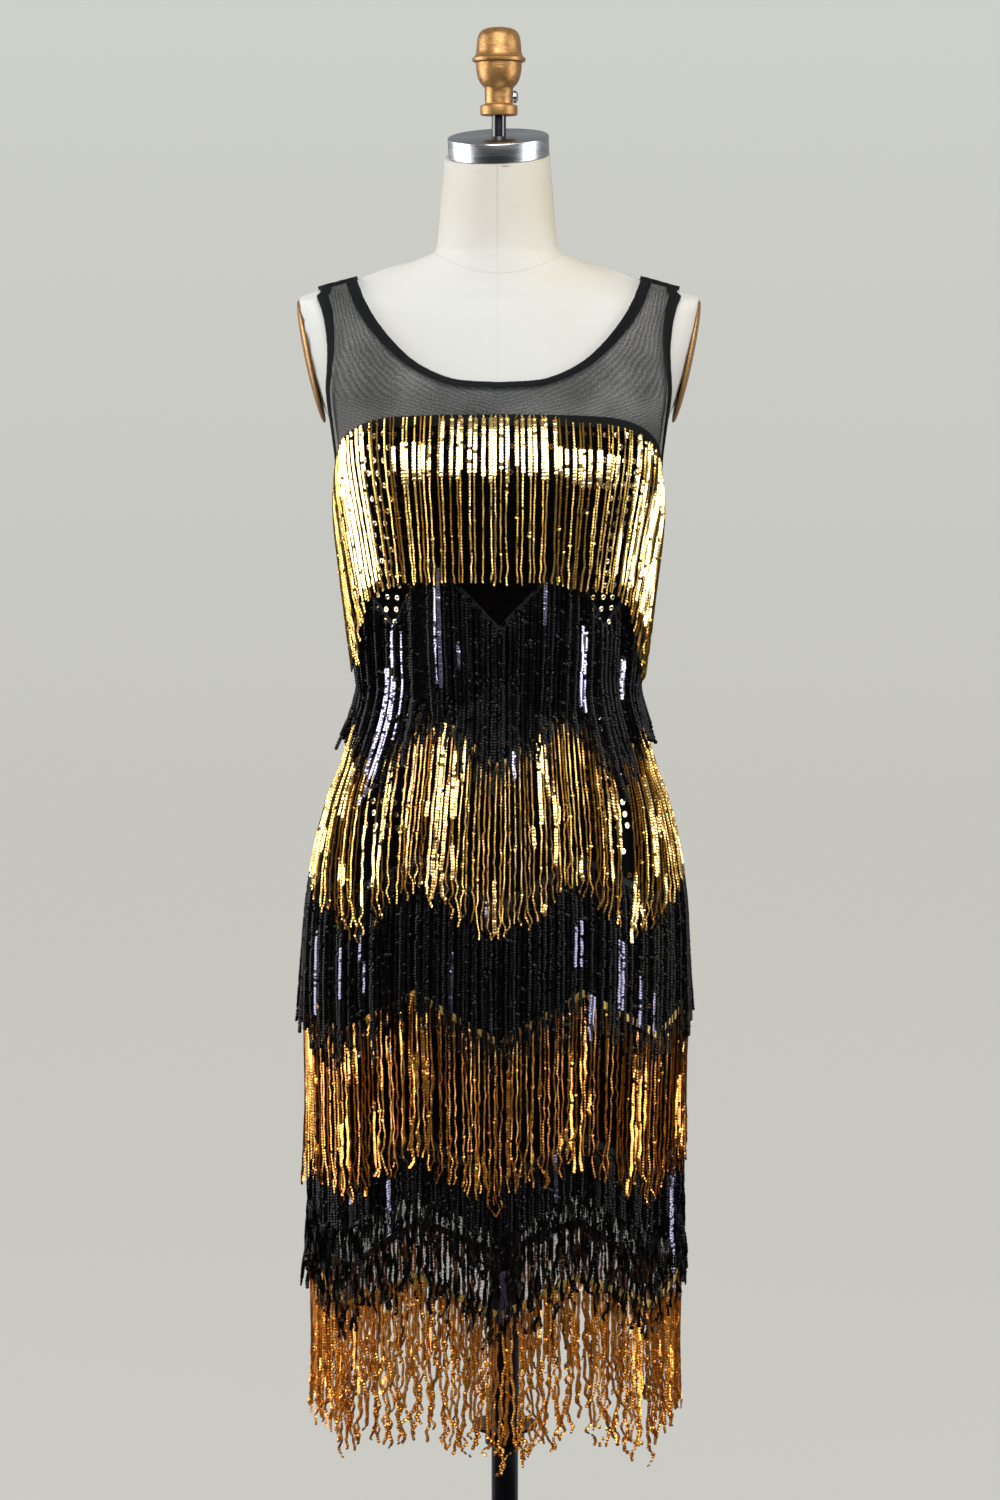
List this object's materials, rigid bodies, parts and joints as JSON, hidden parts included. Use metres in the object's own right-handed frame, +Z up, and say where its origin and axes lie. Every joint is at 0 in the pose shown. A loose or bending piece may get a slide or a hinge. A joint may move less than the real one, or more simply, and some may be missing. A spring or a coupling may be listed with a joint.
{
  "type": "flapper dress on a limbless dress form with a stand",
  "caption": "Sleeveless flapper dress with a net yoke and tiers of gold and black sequin fringe, worn by a limbless dress form on a round stand.",
  "frame": {"origin": "centre of the round base's underside, on the floor", "axes": "+Z up along the stand's pole; the dress faces -Y; +X is at the viewer's right in the front view"},
  "size_m": [0.44, 0.44, 1.66],
  "materials": {
    "net": "sheer black net, the cream form shows through it",
    "sequinned_knit": "black ribbed knit with rows of black sequins",
    "binding_tape": "folded black tape, matt",
    "gold_sequins": "strands of gold metallic sequins and beads, glittering",
    "black_sequins": "strands of glossy black sequins and beads",
    "amber_sequins": "strands of amber and copper metallic sequins, glittering",
    "cotton_cover": "cream cotton, matt",
    "gilt_metal": "gilt, satin, a little worn",
    "brushed_steel": "brushed steel",
    "black_steel": "black enamelled steel, glossy"
  },
  "bodies": {
    "root": {"yoke_front": "net", "yoke_back": "net", "hem_net_front": "net", "hem_net_back": "net", "sheath_front": "sequinned_knit", "sheath_back": "sequinned_knit", "neck_binding": "binding_tape", "armhole_binding_left": "binding_tape", "armhole_binding_right": "binding_tape", "shoulder_seam_left": "binding_tape", "shoulder_seam_right": "binding_tape", "fringe_1_gold": "gold_sequins", "fringe_3_gold": "gold_sequins", "fringe_2_black": "black_sequins", "fringe_4_black": "black_sequins", "fringe_6_black": "black_sequins", "fringe_5_amber": "amber_sequins", "fringe_7_amber": "amber_sequins", "form_torso": "cotton_cover", "arm_plate_left": "gilt_metal", "arm_plate_right": "gilt_metal", "neck_cap": "brushed_steel", "finial_screw": "brushed_steel", "finial": "gilt_metal", "top_rod": "black_steel", "stand_pole": "black_steel", "stand_sleeve": "black_steel", "stand_disc": "black_steel", "stand_base": "black_steel"}
  },
  "joints": []
}
